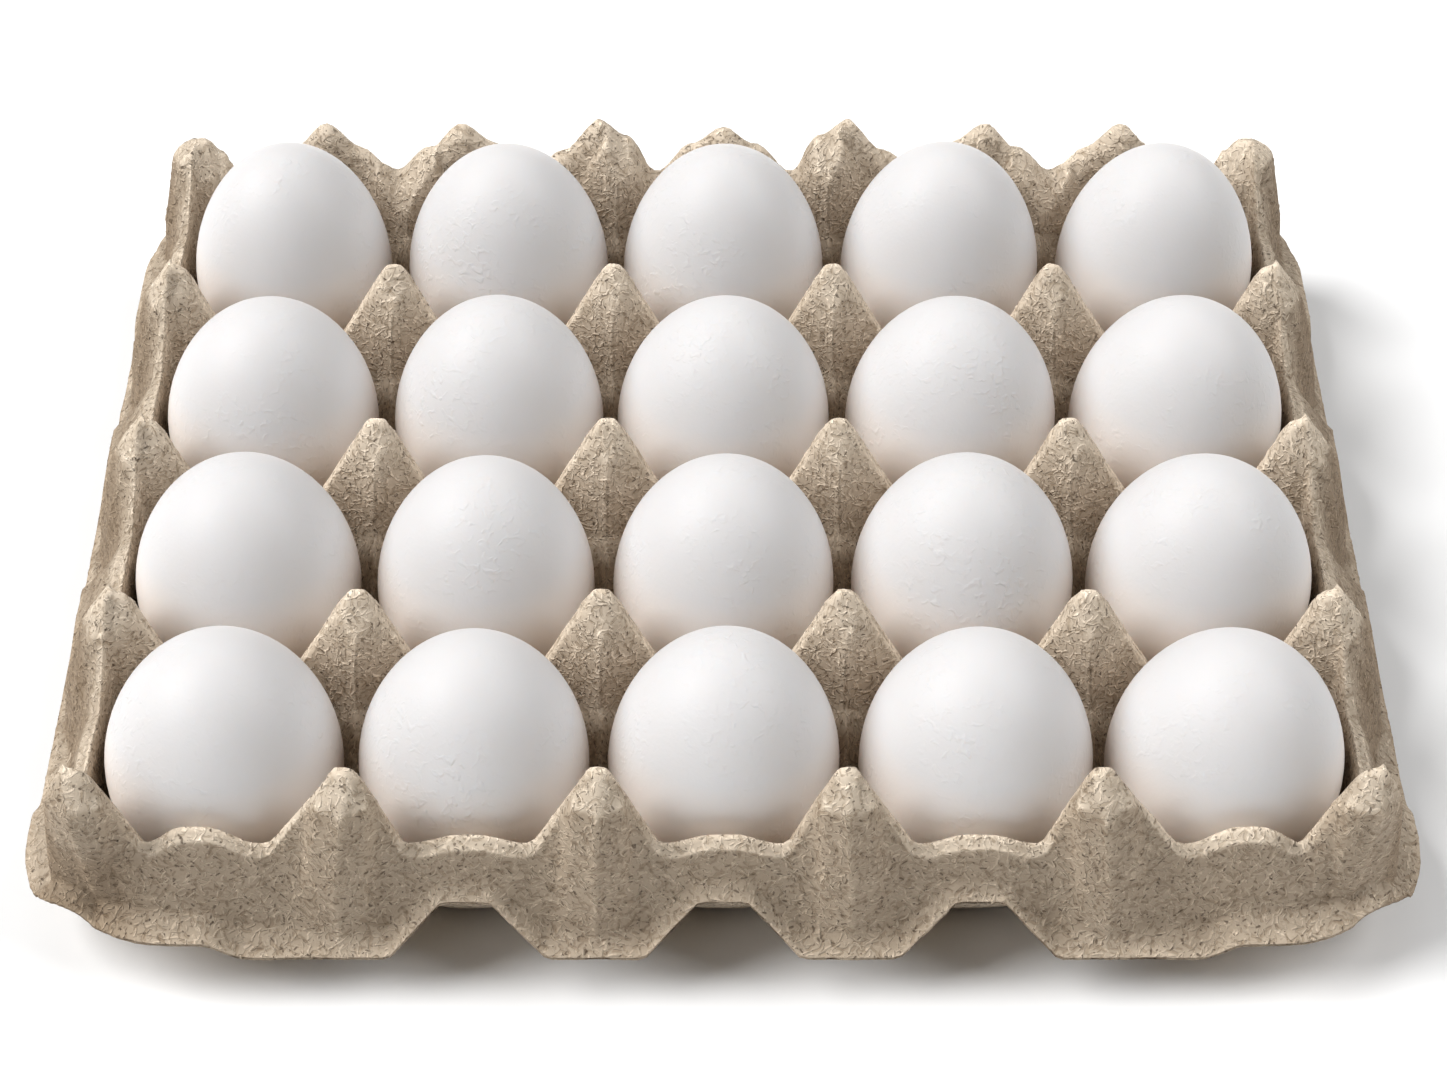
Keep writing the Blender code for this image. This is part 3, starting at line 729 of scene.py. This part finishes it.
def fibre_group():
    """One layer of short bent strokes, one to a cell, each with its own direction."""
    name = "Paper fibres"
    if name in bpy.data.node_groups:
        return bpy.data.node_groups[name]
    group = bpy.data.node_groups.new(name, "ShaderNodeTree")
    for title in ("Coordinates", "Facing"):
        group.interface.new_socket(title, in_out="INPUT", socket_type="NodeSocketVector")
    for title in ("Scale", "Width", "Length", "Bend"):
        group.interface.new_socket(title, in_out="INPUT", socket_type="NodeSocketFloat")
    for title in ("Stroke", "Chance"):
        group.interface.new_socket(title, in_out="OUTPUT", socket_type="NodeSocketFloat")
    inside = group.nodes.new("NodeGroupInput").outputs
    outside = group.nodes.new("NodeGroupOutput").inputs
    waves = group.nodes.new("ShaderNodeTexNoise")
    waves.inputs["Detail"].default_value = 1.0
    group.links.new(inside["Coordinates"], waves.inputs["Vector"])
    group.links.new(inside["Scale"], waves.inputs["Scale"])
    bend = vector_maths(group, "SUBTRACT", waves.outputs["Color"], (0.5, 0.5, 0.5))
    bend = vector_maths(group, "SCALE", bend, scale=maths(group, "DIVIDE", inside["Bend"], inside["Scale"]))
    place = vector_maths(group, "ADD", inside["Coordinates"], bend)
    cells = group.nodes.new("ShaderNodeTexVoronoi")
    group.links.new(place, cells.inputs["Vector"])
    group.links.new(inside["Scale"], cells.inputs["Scale"])
    away = vector_maths(group, "SCALE", vector_maths(group, "SUBTRACT", place, cells.outputs["Position"]),
                        scale=inside["Scale"])
    away = vector_maths(group, "SUBTRACT", away, vector_maths(group, "PROJECT", away, inside["Facing"]))
    heading = vector_maths(group, "CROSS_PRODUCT", inside["Facing"],
                           vector_maths(group, "SUBTRACT", cells.outputs["Color"], (0.5, 0.5, 0.5)))
    heading = vector_maths(group, "NORMALIZE", heading)
    along = vector_maths(group, "DOT_PRODUCT", away, heading)
    beside = vector_maths(group, "SUBTRACT", away, vector_maths(group, "SCALE", heading, scale=along))
    across = vector_maths(group, "LENGTH", beside)
    stroke = maths(group, "SUBTRACT", 1.0, maths(group, "DIVIDE", across, inside["Width"]), clamp=True)
    half = maths(group, "MULTIPLY", inside["Length"], 0.5)
    end = maths(group, "SUBTRACT", half, maths(group, "ABSOLUTE", along))
    stroke = maths(group, "MULTIPLY", stroke, maths(group, "MULTIPLY", end, 8.0, clamp=True))
    parts = group.nodes.new("ShaderNodeSeparateColor")
    group.links.new(cells.outputs["Color"], parts.inputs[0])
    group.links.new(stroke, outside["Stroke"])
    group.links.new(parts.outputs[1], outside["Chance"])
    return group


def fibre_layer(tree, sources, scale, width, length, bend):
    """A layer of fibres with its own size; gives its stroke and its fibres' chance numbers."""
    layer = tree.nodes.new("ShaderNodeGroup")
    layer.node_tree = fibre_group()
    for title, source in zip(("Coordinates", "Facing"), sources):
        tree.links.new(source, layer.inputs[title])
    for title, value in (("Scale", scale), ("Width", width), ("Length", length), ("Bend", bend)):
        layer.inputs[title].default_value = value
    return layer.outputs["Stroke"], layer.outputs["Chance"]


def mix_colour(tree, factor, first, second):
    item = tree.nodes.new("ShaderNodeMix")
    item.data_type = "RGBA"
    for socket, value in ((item.inputs[0], factor), (item.inputs[6], first), (item.inputs[7], second)):
        if isinstance(value, (int, float, tuple)):
            socket.default_value = value
        else:
            tree.links.new(value, socket)
    return item.outputs[2]


def tint(tree, factor, base, colour):
    """Multiply a colour where the factor says so."""
    item = mix_colour(tree, factor, base, colour).node
    item.blend_type = "MULTIPLY"
    return item.outputs[2]


def with_painted_light(tree, looks):
    """The pulp's colour after the painted light and shade stored in the mesh: its shaded colour mixed toward
    its lit colour.
    """
    tone = tree.nodes.new("ShaderNodeAttribute")
    tone.attribute_name = "tone"
    return mix_colour(tree, tone.outputs["Fac"], rgba(looks.pulp_painted_shade), rgba(looks.pulp))


def rgba(value, scale=1.0):
    return (value[0] * scale, value[1] * scale, value[2] * scale, 1.0)


def new_material(name):
    material = bpy.data.materials.new(name)
    material.use_nodes = True
    tree = material.node_tree
    shader = tree.nodes["Principled BSDF"]
    coordinates = tree.nodes.new("ShaderNodeTexCoord")
    return material, tree, shader, coordinates.outputs["Object"]


def add_bump(tree, shader, height, strength, distance):
    bump = tree.nodes.new("ShaderNodeBump")
    bump.inputs["Strength"].default_value = strength
    bump.inputs["Distance"].default_value = distance
    tree.links.new(height, bump.inputs["Height"])
    tree.links.new(bump.outputs["Normal"], shader.inputs["Normal"])


# Strokes on the pulp: cells per metre, then width, length and bend as shares of a cell; flecks also have
# the chance number above which a cell has one.
STROKE_LAYERS = ((330.0, 0.12, 1.1, 0.9), (450.0, 0.14, 1.0, 0.8), (640.0, 0.16, 0.9, 0.7))
FLECK_LAYERS = ((320.0, 0.065, 0.36, 0.3, 0.62), (600.0, 0.09, 0.30, 0.3, 0.66))
DARK_SHARE = 0.36


def pulp_material(looks):
    """Moulded pulp: painted paler where it faces up and darker on its shaded sides, with painted light on
    convex edges and painted shade in creases, pale and dark strokes, flecks and slow mottling.
    """
    material, tree, shader, coordinates = new_material("Moulded pulp")
    base = with_painted_light(tree, looks)
    edges = tree.nodes.new("ShaderNodeAttribute")
    edges.attribute_name = "wear"
    # Painted light on convex edges, painted shade in creases.
    out_edge = ramp(tree, edges.outputs["Fac"], 0.56, 2.5)
    in_edge = ramp(tree, edges.outputs["Fac"], 0.44, -2.5)
    base = tint(tree, out_edge, base, rgba(looks.paler))
    base = tint(tree, maths(tree, "MULTIPLY", in_edge, 0.6), base, rgba(looks.browner))
    mottle = noise_of(tree, coordinates, 120.0, detail=5.0, rough=0.65)
    cloud = ramp(tree, mottle, 0.40, 4.0)
    base = tint(tree, maths(tree, "MULTIPLY", cloud, 0.25), base, rgba(looks.browner))
    grain = noise_of(tree, coordinates, 1500.0, detail=3.0, rough=0.7)
    speck = ramp(tree, grain, 0.44, 4.0)
    base = tint(tree, maths(tree, "MULTIPLY", speck, 0.25), base, rgba(looks.browner))
    relief = maths(tree, "MULTIPLY", grain, 0.35)
    facing = tree.nodes.new("ShaderNodeNewGeometry").outputs["Normal"]
    sources = (coordinates, facing)
    for scale, width, length, bend in STROKE_LAYERS:
        stroke, chance = fibre_layer(tree, sources, scale, width, length, bend)
        edge = maths(tree, "MULTIPLY", stroke, 3.0, clamp=True)
        dark = maths(tree, "MULTIPLY", edge, maths(tree, "LESS_THAN", chance, DARK_SHARE))
        pale = maths(tree, "MULTIPLY", edge, maths(tree, "GREATER_THAN", chance, DARK_SHARE))
        base = tint(tree, maths(tree, "MULTIPLY", dark, 0.5), base, rgba(looks.browner))
        base = tint(tree, maths(tree, "MULTIPLY", pale, 0.75), base, rgba(looks.paler))
        relief = maths(tree, "ADD", relief, maths(tree, "MULTIPLY", pale, stroke))
        relief = maths(tree, "SUBTRACT", relief, maths(tree, "MULTIPLY", dark, 0.6))
    for scale, width, length, bend, least in FLECK_LAYERS:
        stroke, chance = fibre_layer(tree, sources, scale, width, length, bend)
        fleck = maths(tree, "MULTIPLY", maths(tree, "MULTIPLY", stroke, 3.0, clamp=True),
                      maths(tree, "GREATER_THAN", chance, least))
        base = mix_colour(tree, maths(tree, "MULTIPLY", fleck, 0.65), base, rgba(looks.fleck))
        relief = maths(tree, "SUBTRACT", relief, fleck)
    tree.links.new(base, shader.inputs["Base Color"])
    rough = maths(tree, "ADD", 0.84, maths(tree, "MULTIPLY", mottle, 0.14))
    tree.links.new(rough, shader.inputs["Roughness"])
    shader.inputs["Specular IOR Level"].default_value = 0.2
    add_bump(tree, shader, relief, 1.0, 0.22 * MM)
    return material


def strand_material(name, looks, shade):
    """Paper fibres, lighter or darker than the pulp they lie on, its painted light and shade included, each a
    little different from the next.
    """
    material, tree, shader, coordinates = new_material(name)
    change = ramp(tree, noise_of(tree, coordinates, 260.0, detail=1.0), 0.3, 2.2)
    depth = maths(tree, "ADD", 0.4, maths(tree, "MULTIPLY", change, 0.6))
    base = tint(tree, depth, with_painted_light(tree, looks), rgba(shade))
    tree.links.new(base, shader.inputs["Base Color"])
    shader.inputs["Roughness"].default_value = 0.85
    shader.inputs["Specular IOR Level"].default_value = 0.2
    add_bump(tree, shader, noise_of(tree, coordinates, 2200.0, detail=2.0), 0.3, 0.08 * MM)
    return material


def shell_material(looks):
    """White eggshell with fine dimples, with a painted warm bounce of light down between the pulp."""
    material, tree, shader, coordinates = new_material("White eggshell")
    cloud = noise_of(tree, coordinates, 45.0, detail=3.0)
    base = mix_colour(tree, cloud, rgba(looks.shell), rgba(looks.shell, 0.975))
    split = tree.nodes.new("ShaderNodeSeparateXYZ")
    tree.links.new(coordinates, split.inputs[0])
    # Painted warm bounce light, tinting the shells below a height.
    low = ramp(tree, split.outputs["Z"], looks.painted_bounce_below * MM, -1.0 / (looks.painted_bounce_depth * MM))
    base = tint(tree, low, base, rgba(looks.warmer))
    tree.links.new(base, shader.inputs["Base Color"])
    shader.inputs["Sheen Weight"].default_value = 0.3
    shader.inputs["Sheen Roughness"].default_value = 0.45
    shader.inputs["Sheen Tint"].default_value = rgba((1.0, 0.95, 0.92))
    rough = maths(tree, "ADD", 0.46, maths(tree, "MULTIPLY", cloud, 0.14))
    tree.links.new(rough, shader.inputs["Roughness"])
    shader.inputs["Specular IOR Level"].default_value = 0.32
    shader.inputs["Subsurface Weight"].default_value = 0.4
    shader.inputs["Subsurface Radius"].default_value = (1.0, 0.75, 0.6)
    shader.inputs["Subsurface Scale"].default_value = 5.0 * MM
    pores = noise_of(tree, coordinates, 1300.0, detail=2.0)
    dimples = noise_of(tree, coordinates, 560.0, detail=1.5, distortion=0.6)
    gate = ramp(tree, noise_of(tree, coordinates, 60.0), 0.42, 4.0)
    dimples = maths(tree, "MULTIPLY", ramp(tree, dimples, 0.52, 5.0), gate)
    relief = maths(tree, "ADD", maths(tree, "MULTIPLY", pores, 0.3), dimples)
    add_bump(tree, shader, relief, 0.7, 0.15 * MM)
    return material


def floor_material(looks):
    """A plain matt floor."""
    material, tree, shader, coordinates = new_material("Pale floor")
    shade = noise_of(tree, coordinates, 3.0)
    base = mix_colour(tree, shade, rgba(looks.floor), rgba(looks.floor, 0.99))
    tree.links.new(base, shader.inputs["Base Color"])
    shader.inputs["Roughness"].default_value = 0.7
    shader.inputs["Specular IOR Level"].default_value = 0.2
    return material


# --------------------------------------------------------------------------- operators

class EGGTRAY_OT_tray(bpy.types.Operator):
    """Build the tray of moulded pulp"""
    bl_idname = "eggtray.tray"
    bl_label = "Pulp tray"

    def execute(self, context):
        mesh = make_tray_mesh(context.scene.egg_tray)
        piece = new_piece("pulp_tray", mesh, pulp_material(context.scene.egg_looks))
        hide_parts("tray")
        return {"FINISHED"}


class EGGTRAY_OT_fibres(bpy.types.Operator):
    """Lay the loose paper fibres and dark flecks on the tray"""
    bl_idname = "eggtray.fibres"
    bl_label = "Fibres and flecks"

    def execute(self, context):
        settings = context.scene.egg_fibres
        looks = context.scene.egg_looks
        step = settings.fibre_step
        width = settings.fibre_width
        fleck_width = settings.fleck_width
        kinds = (
            ("pulp_fibres", settings.fibres, (2, 4), step, width, 0.13, looks.paler),
            ("pulp_brown_fibres", settings.browns, (2, 4), step, width, 0.10, looks.browner),
            ("pulp_flecks", settings.flecks, (1, 2), step * 0.8, fleck_width, 0.05, looks.fleck_shade),
        )
        tray = bpy.data.objects["pulp_tray"]
        for seed, (name, count, bends, bend, wide, high, shade) in enumerate(kinds, settings.seed):
            mesh = scatter(tray, name, count, bends, bend, wide, high, seed)
            new_piece(name, mesh, strand_material(name, looks, shade))
        return {"FINISHED"}


class EGGTRAY_OT_eggs(bpy.types.Operator):
    """Set a white egg in every cup"""
    bl_idname = "eggtray.eggs"
    bl_label = "Eggs"

    def execute(self, context):
        material = shell_material(context.scene.egg_looks)
        names = sorted(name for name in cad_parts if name.startswith("egg_"))
        for seed, name in enumerate(names):
            mesh = make_egg_mesh(name, context.scene.egg_eggs, seed)
            piece = new_piece(mesh.name, mesh, material)
            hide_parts(name)
        return {"FINISHED"}


# Where each soft light stands, as a direction from the tray.
LIGHT_PLACES = {
    "key": (-1.0, 0.0, 1.0),
    "side": (1.0, 0.0, 1.0),
    "fill": (-0.7, -0.7, 1.0),
    "rear": (0.0, 1.0, 1.0),
}


class EGGTRAY_OT_stage(bpy.types.Operator):
    """Build the floor, the lights and the camera"""
    bl_idname = "eggtray.stage"
    bl_label = "Studio"

    def execute(self, context):
        scene = context.scene
        settings = scene.egg_stage
        bm = bmesh.new()
        bmesh.ops.create_grid(bm, x_segments=8, y_segments=8, size=3.0)
        mesh = bpy.data.meshes.new("studio_floor")
        bm.to_mesh(mesh)
        bm.free()
        mesh.materials.append(floor_material(scene.egg_looks))
        floor = bpy.data.objects.new("studio_floor", mesh)
        floor.location.z = TRAY_LOW.z
        scene.collection.objects.link(floor)
        for name, place in LIGHT_PLACES.items():
            light = bpy.data.lights.new(name, "SUN")
            light.angle = settings.softness
            light.energy = getattr(settings, name)
            lamp = bpy.data.objects.new(name, light)
            lamp.location = place
            lamp.rotation_euler = Vector(place).to_track_quat("Z", "Y").to_euler()
            scene.collection.objects.link(lamp)
        world = bpy.data.worlds.new("Studio surround")
        world.use_nodes = True
        background = world.node_tree.nodes["Background"]
        background.inputs["Color"].default_value = (1.0, 1.0, 1.0, 1.0)
        background.inputs["Strength"].default_value = settings.sky
        scene.world = world
        camera = bpy.data.cameras.new("camera")
        camera.lens = settings.lens
        camera.sensor_width = 36.0
        view = bpy.data.objects.new("camera", camera)
        target = Vector((settings.target_x, settings.target_y, settings.target_z)) * MM
        back = Vector((0.0, -math.cos(settings.elevation), math.sin(settings.elevation)))
        view.location = target + back * settings.distance * MM
        view.rotation_euler = back.to_track_quat("Z", "Y").to_euler()
        scene.collection.objects.link(view)
        scene.camera = view
        scene.view_settings.view_transform = "Standard"
        return {"FINISHED"}


STEPS = (EGGTRAY_OT_tray, EGGTRAY_OT_fibres, EGGTRAY_OT_eggs, EGGTRAY_OT_stage)
SETTINGS = {
    "egg_tray": TraySettings,
    "egg_fibres": FibreSettings,
    "egg_eggs": EggSettings,
    "egg_looks": LookSettings,
    "egg_stage": StageSettings,
}


class EGGTRAY_PT_panel(bpy.types.Panel):
    """The steps that build the tray with its eggs"""
    bl_idname = "EGGTRAY_PT_panel"
    bl_label = "Egg tray"
    bl_space_type = "VIEW_3D"
    bl_region_type = "UI"
    bl_category = "Egg tray"

    def draw(self, context):
        for step in STEPS:
            self.layout.operator(step.bl_idname)
        for name, group in SETTINGS.items():
            box = self.layout.box()
            for key in group.__annotations__:
                box.prop(getattr(context.scene, name), key)


def register():
    for group in SETTINGS.values():
        bpy.utils.register_class(group)
    for step in STEPS:
        bpy.utils.register_class(step)
    bpy.utils.register_class(EGGTRAY_PT_panel)
    for name, group in SETTINGS.items():
        setattr(bpy.types.Scene, name, PointerProperty(type=group))


def unregister():
    for name in SETTINGS:
        delattr(bpy.types.Scene, name)
    bpy.utils.unregister_class(EGGTRAY_PT_panel)
    for step in reversed(STEPS):
        bpy.utils.unregister_class(step)
    for group in reversed(list(SETTINGS.values())):
        bpy.utils.unregister_class(group)


def main():
    register()
    bpy.ops.eggtray.tray()
    bpy.ops.eggtray.fibres()
    bpy.ops.eggtray.eggs()
    bpy.ops.eggtray.stage()


if __name__ == "__main__":
    main()
